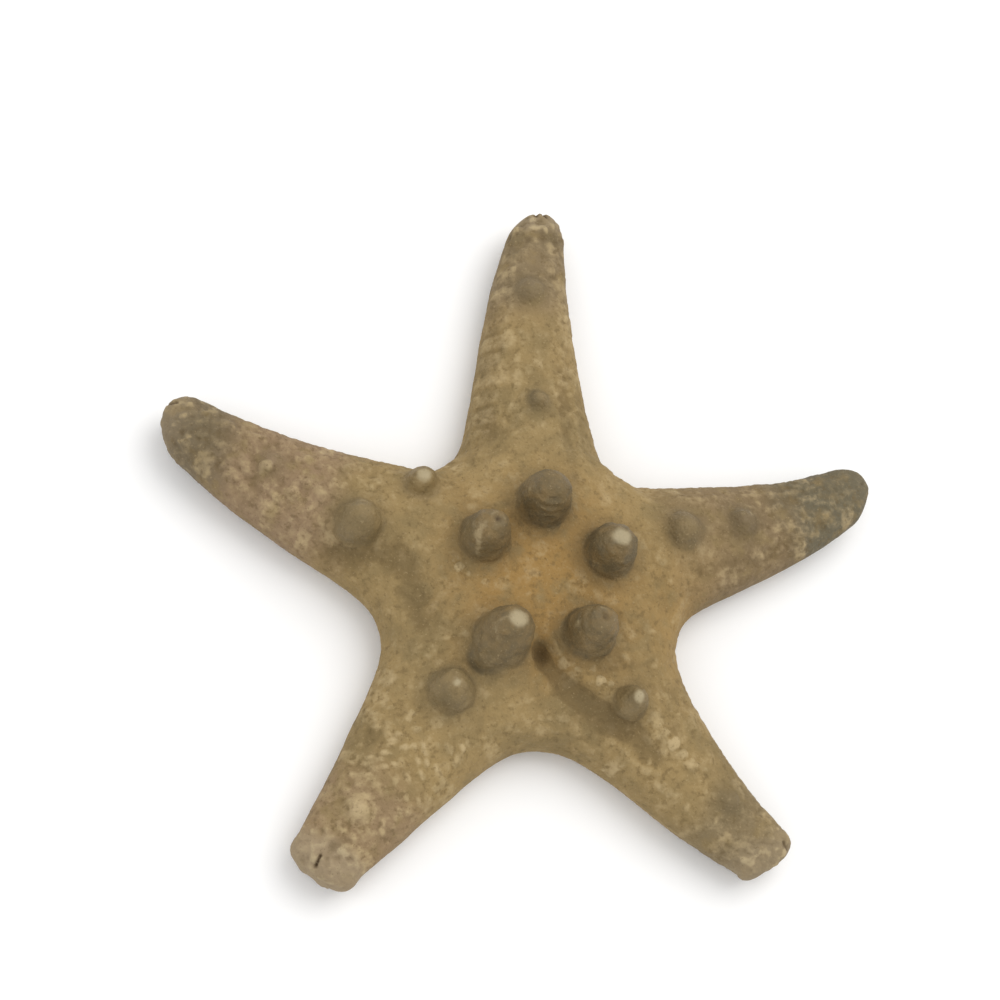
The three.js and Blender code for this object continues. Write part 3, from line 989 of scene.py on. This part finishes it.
def paintSkin(name, palette):
    material, tree = newMaterial(name)
    place = addNode(tree, "ShaderNodeTexCoord").outputs["Object"]
    zone = {}
    for zoneName in zoneNames:
        stored = addNode(tree, "ShaderNodeAttribute", attribute_name=zoneName)
        zone[zoneName] = stored.outputs["Fac"]

    def noise(size, detail):
        # size is in millimetres
        return addNode(tree, "ShaderNodeTexNoise", {
            "Vector": place, "Scale": 1000 / size, "Detail": detail, "Roughness": 0.55}).outputs["Fac"]

    def times(first, second):
        return calculate(tree, "MULTIPLY", first, second, clamp=True)

    broad, middle, small, grit = noise(12, 2), noise(3.6, 4), noise(1.2, 4), noise(0.42, 2)
    patchy = calculate(tree, "ADD", middle, 0.35)
    fine = calculate(tree, "ADD", small, 0.45)
    light = calculate(tree, "MULTIPLY_ADD", calculate(tree, "SUBTRACT", small, 0.5), 1.15, zone["tone"])

    # what is laid over the skin, in order: where, which colour, how strongly
    coats = [
        (between(tree, middle, 0.4, 0.7), "tan", 0.8),
        (times(zone["orange"], patchy), "orange", 0.95),
        (zone["belly"], "belly", 0.8),
        (times(zone["brown"], patchy), "brown", 1),
        (times(zone["pink"], patchy), "pink", 1),
        (times(zone["ash"], patchy), "ash", 1),
        (between(tree, light, 0.02, 0.8), "pale", 0.8),
        (between(tree, middle, 0.56, 0.74), "pale", 0.4),
        (between(tree, middle, 0.5, 0.3), "olive", 0.6),
        (between(tree, small, 0.47, 0.3), "darkSpeckAndShade", 0.45),
        (zone["cap"], "cap", 0.75),
        (times(zone["cap"], between(tree, light, 0.1, 0.9)), "bone", 0.55),
        # painted shade: darker where the relief is sunk
        (between(tree, zone["low"], 0.02, 0.6), "darkSpeckAndShade", 0.5),
        (times(zone["grey"], fine), "horn", 1),
        (times(zone["horn"], between(tree, light, 0.25, 0.8)), "pale", 0.55),
        # painted shade in the holes, pits, slits and valleys
        (zone["hollowShade"], "deepShade", 0.9),
        (zone["worn"], "bone", 0.9),
        (between(tree, grit, 0.6, 0.76), "pale", 0.3),
        (between(tree, grit, 0.37, 0.27), "darkSpeckAndShade", 0.5),
    ]
    base = mixColours(tree, between(tree, broad, 0.36, 0.64), palette["tan"], palette["olive"])
    for where, over, strength in coats:
        base = mixColours(tree, times(where, strength), base, palette[over])

    grains = addNode(tree, "ShaderNodeTexVoronoi", {"Vector": place, "Scale": 1000 / palette["grain"]})
    height = calculate(tree, "MULTIPLY_ADD", grains.outputs["Distance"], -0.7, small)
    height = calculate(tree, "MULTIPLY_ADD", grit, 0.5, height)
    bump = addNode(tree, "ShaderNodeBump", {
        "Height": height, "Strength": palette["bump"], "Distance": palette["bumpHeight"]})
    rubbed = addNode(tree, "ShaderNodeMapRange", {
        "Value": zone["horn"], "To Min": palette["roughness"][0], "To Max": palette["roughness"][1]})
    shader = addNode(tree, "ShaderNodeBsdfPrincipled", {
        "Base Color": base, "Roughness": rubbed.outputs["Result"],
        "Specular IOR Level": palette["gloss"], "Normal": bump.outputs[0]})
    addNode(tree, "ShaderNodeOutputMaterial", {"Surface": shader.outputs[0]})
    return material


colourZones(starfish.data)
starfish.data.materials.append(paintSkin("driedSkin", skin))
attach(starfish, "root")
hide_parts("starfish")
print("painted the skin")


# the blunt spines that fold over the five grooves of the belly, and the longer ones round the mouth
spines = {
    "sides": 6,
    "shape": [(0.0, 0.0), (0.0, 1.0), (0.45, 0.95), (0.85, 0.75), (0.97, 0.42), (1.0, 0.0)],
    "first": 6.5,           # from the mouth outwards, in mm
    "beforeEnd": 3.5,
    "pitch": 1.3,
    "tipSize": 0.6,         # how small they get at an arm's tip
    "inner": {"aside": -0.15, "shift": 0, "length": 1.9, "thick": 0.42, "lean": 0.9, "root": 0.75},
    "outer": {"aside": 1.0, "shift": 0.35, "length": 1.15, "thick": 0.52, "lean": 0.15, "root": 0.75},
    "mouth": {"out": 3.6, "length": 3.0, "thick": 0.62, "count": 3, "fan": 0.36},
    "floor": 0.1,           # how far above the table they stay
}


def oneSpine(foot, tip, thick):
    # a tapered peg with a round end
    high, wide = np.array(spines["shape"]).T
    long = np.linalg.norm(tip - foot)
    return ringPoints(foot, tip - foot, thick * wide, long * high, spines["sides"])


def bellySpines():
    pegs = []
    for number, arm in enumerate(arms):
        steps = np.arange(spines["first"], arm["length"] - spines["beforeEnd"], spines["pitch"])
        for step, out in enumerate(steps):
            for left in (-1, 1):
                for row in ("inner", "outer"):
                    make = spines[row]
                    chance = scatter(np.array([[step, number + 7 * left]]), 5)[0]
                    size = mix(1.0, spines["tipSize"], alongArm(arm, out)) * (0.85 + 0.3 * chance)
                    aside = grooveHalf(arm, out) + make["aside"] * size
                    place = out + make["shift"]
                    share = left * aside / halfWidth(arm, place, left)
                    height = bellyHeight(arm, place, share, left * aside)
                    foot = planPoint(arm, place, left * aside, height + make["root"])
                    down = make["length"] * size
                    over = left * (aside - make["lean"] * down)
                    low = max(spines["floor"] + liftAt(arm, place), height + make["root"] - down)
                    tip = planPoint(arm, place + 0.15, over, low + make["thick"] * 0.3)
                    pegs.append(oneSpine(foot, tip, make["thick"] * size))
    mouth = spines["mouth"]
    for number, arm in enumerate(arms):
        turn = math.radians(arm["heading"]) + arm["leftGap"]
        for count in range(mouth["count"]):
            fan = turn + (count - (mouth["count"] - 1) / 2) * mouth["fan"]
            foot = np.array([math.cos(fan), math.sin(fan), 0]) * mouth["out"] + (0, 0, 2.0)
            inward = mouth["out"] - mouth["length"] * 0.75
            tip = np.array([math.cos(turn), math.sin(turn), 0]) * inward
            tip = tip + (foot - tip) * (0.25, 0.25, 0) + (0, 0, 0.4)
            pegs.append(oneSpine(foot, tip, mouth["thick"]))
    return np.concatenate(pegs), ringFaces(len(pegs), len(spines["shape"]), spines["sides"])


spinePiece = makeMesh("groove_spines", *bellySpines())
weld(spinePiece.data)
spinePiece.data.vertices.foreach_set("co", toFrame(readPoints(spinePiece.data)).ravel())
spinePiece.data.update()
for zoneName, value in (("belly", 1.0), ("tone", 0.25)):
    setZone(spinePiece.data, zoneName, np.full(len(spinePiece.data.vertices), value))
spinePiece.data.shade_smooth()
spinePiece.data.materials.append(starfish.data.materials[0])
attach(spinePiece, "root")
print("set the spines of the belly:", len(spinePiece.data.polygons), "faces")


def makeStage():
    bpy.ops.mesh.primitive_plane_add(size=3)
    floor = bpy.context.object
    floor.name = "floor"
    material, tree = newMaterial("paleFloor")
    paint = {"Base Color": (0.94, 0.94, 0.94, 1), "Roughness": 0.9}
    shader = addNode(tree, "ShaderNodeBsdfPrincipled", paint)
    addNode(tree, "ShaderNodeOutputMaterial", {"Surface": shader.outputs[0]})
    floor.data.materials.append(material)


# angles in degrees, distances and sizes in metres
lights = {
    "key": {"azimuth": 128, "elevation": 60, "distance": 0.9, "size": 0.8, "power": 3.5,
            "colour": (1, 0.985, 0.96)},
    "fill": {"azimuth": -70, "elevation": 45, "distance": 1.1, "size": 1.0, "power": 1.5,
             "colour": (0.95, 0.97, 1)},
}
skyStrength = 0.85


def outward(place):
    # the way from the starfish to a light or the camera
    turn, rise = math.radians(place["azimuth"]), math.radians(place["elevation"])
    return Vector((math.sin(turn) * math.cos(rise), -math.cos(turn) * math.cos(rise), math.sin(rise)))


def makeLights():
    for name, light in lights.items():
        lamp = bpy.data.lights.new(name, "AREA")
        lamp.shape = "DISK"
        lamp.size = light["size"]
        lamp.energy = light["power"]
        lamp.color = light["colour"]
        back = outward(light)
        holder = addObject(name, lamp)
        holder.location = back * light["distance"]
        holder.rotation_euler = back.to_track_quat("Z", "Y").to_euler()
    world = bpy.data.worlds.new("studio")
    world.use_nodes = True
    sky = world.node_tree.nodes["Background"].inputs
    sky["Color"].default_value = (1, 1, 1, 1)
    sky["Strength"].default_value = skyStrength
    bpy.context.scene.world = world


camera = {
    "azimuth": -30,
    "elevation": 67,
    "aim": (-4.08, 18.3),   # on the table, in mm from the middle of the disc
    "distance": 0.4354,
    "lens": 91.05,
}


def makeCamera():
    # looks down from the lower left, with +Y upright in the picture
    back = outward(camera)
    up = Vector((0, 1, 0))
    up = (up - up.dot(back) * back).normalized()
    right = up.cross(back)
    lens = bpy.data.cameras.new("camera")
    lens.lens = camera["lens"]
    lens.clip_start = 0.01
    holder = addObject("camera", lens)
    aim = Vector(toFrame(np.array([*camera["aim"], 0.0])))
    turned = Matrix((right, up, back)).transposed().to_4x4()
    holder.matrix_world = Matrix.Translation(aim + back * camera["distance"]) @ turned
    bpy.context.scene.camera = holder


makeStage()
makeLights()
makeCamera()
bpy.context.scene.view_settings.view_transform = "Standard"

print("set the stage, the lights and the camera")
